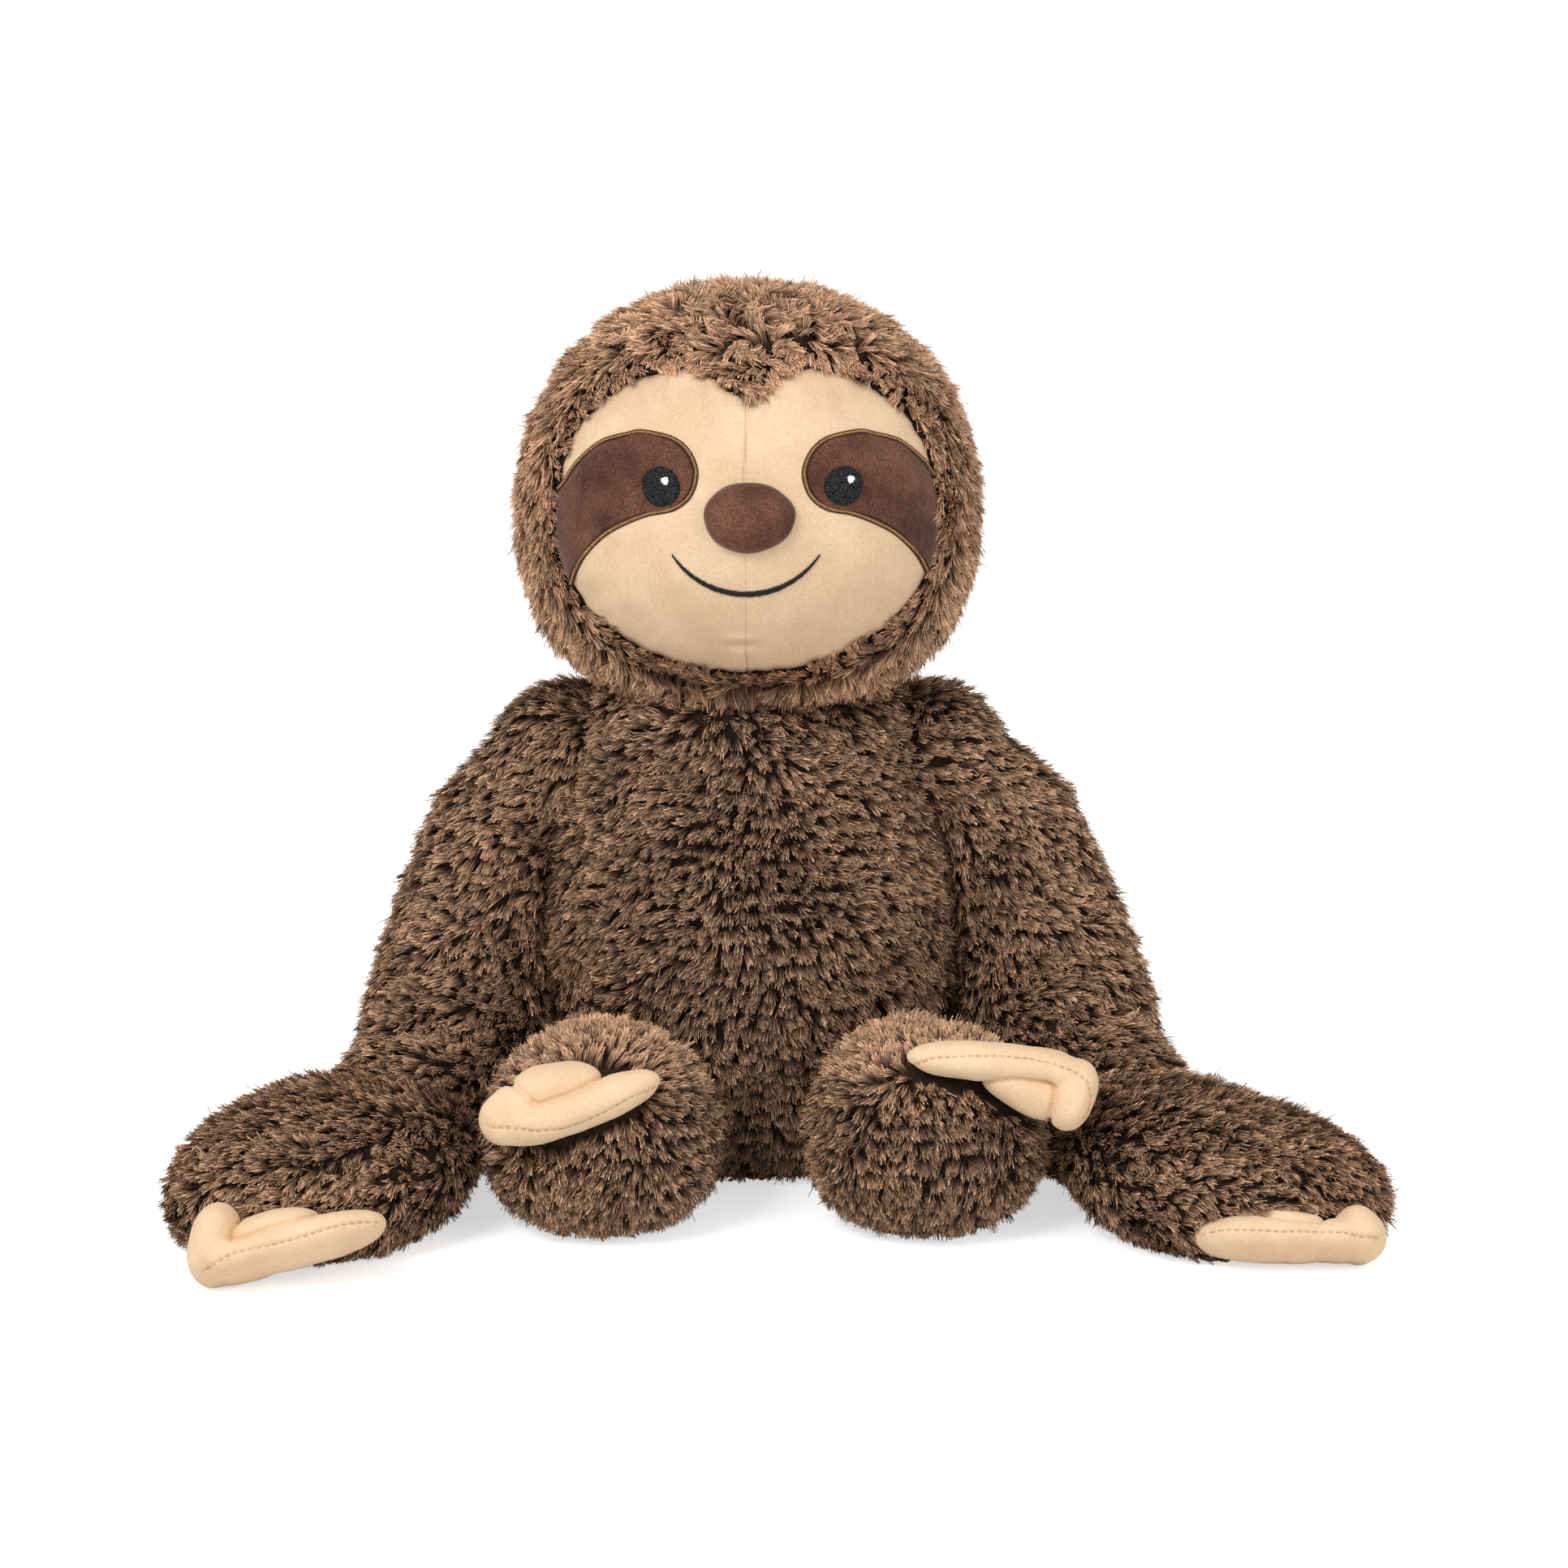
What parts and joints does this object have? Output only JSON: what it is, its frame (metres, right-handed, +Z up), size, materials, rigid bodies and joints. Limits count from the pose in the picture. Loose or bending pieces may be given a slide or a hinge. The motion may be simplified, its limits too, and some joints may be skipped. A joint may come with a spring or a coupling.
{
  "type": "plush sloth",
  "caption": "Seated plush sloth with a pale face, brown fur, long arms and stuffed claws, made of sewn panels round fibre stuffing.",
  "frame": {"origin": "middle of the flat seat, on the surface that the toy sits on", "axes": "+Z up; the toy looks along -Y; +X is to the toy's own left, which is the right of someone who faces it"},
  "size_m": [0.448, 0.275, 0.341],
  "materials": {
    "brown_fur": "matte",
    "beige_minky": "matte",
    "brown_minky": "matte",
    "black_thread": "satin",
    "white_thread": "satin",
    "edging_thread": "satin",
    "fibre_stuffing": "matte"
  },
  "bodies": {
    "torso": {"left_torso_front_panel": "brown_fur", "right_torso_front_panel": "brown_fur", "torso_back_panel": "brown_fur", "seat_panel": "brown_fur", "torso_stuffing": "fibre_stuffing"},
    "head": {"head_stuffing": "fibre_stuffing", "left_hood_panel": "brown_fur", "left_face_panel": "beige_minky", "left_eye_patch": "brown_minky", "left_patch_edging": "edging_thread", "left_eye": "black_thread", "left_eye_glint": "white_thread", "right_hood_panel": "brown_fur", "right_face_panel": "beige_minky", "right_eye_patch": "brown_minky", "right_patch_edging": "edging_thread", "right_eye": "black_thread", "right_eye_glint": "white_thread", "nose": "brown_minky", "mouth_stitching": "black_thread"},
    "left_arm": {"left_arm_front_panel": "brown_fur", "left_arm_back_panel": "brown_fur", "left_arm_stuffing": "fibre_stuffing", "left_hand_claws": "beige_minky"},
    "right_arm": {"right_arm_front_panel": "brown_fur", "right_arm_back_panel": "brown_fur", "right_arm_stuffing": "fibre_stuffing", "right_hand_claws": "beige_minky"},
    "left_leg": {"left_leg_upper_panel": "brown_fur", "left_leg_lower_panel": "brown_fur", "left_leg_stuffing": "fibre_stuffing", "left_foot_claws": "beige_minky"},
    "right_leg": {"right_leg_upper_panel": "brown_fur", "right_leg_lower_panel": "brown_fur", "right_leg_stuffing": "fibre_stuffing", "right_foot_claws": "beige_minky"}
  },
  "joints": [
    {"name": "neck_turn", "type": "hinge", "parent": "torso", "child": "head", "pos_m": [0, 0, 0.19], "axis": [0, 0, 1], "range_deg": [-35, 35]},
    {"name": "left_shoulder", "type": "hinge", "parent": "torso", "child": "left_arm", "pos_m": [-0.07, 0, 0.158], "axis": [0, 1, 0], "range_deg": [0, 80]},
    {"name": "right_shoulder", "type": "hinge", "parent": "torso", "child": "right_arm", "pos_m": [0.07, 0, 0.158], "axis": [0, -1, 0], "range_deg": [0, 80]},
    {"name": "left_hip", "type": "hinge", "parent": "torso", "child": "left_leg", "pos_m": [-0.046, -0.04, 0.04], "axis": [-1, 0, 0], "range_deg": [0, 25]},
    {"name": "right_hip", "type": "hinge", "parent": "torso", "child": "right_leg", "pos_m": [0.046, -0.04, 0.04], "axis": [-1, 0, 0], "range_deg": [0, 25]}
  ]
}
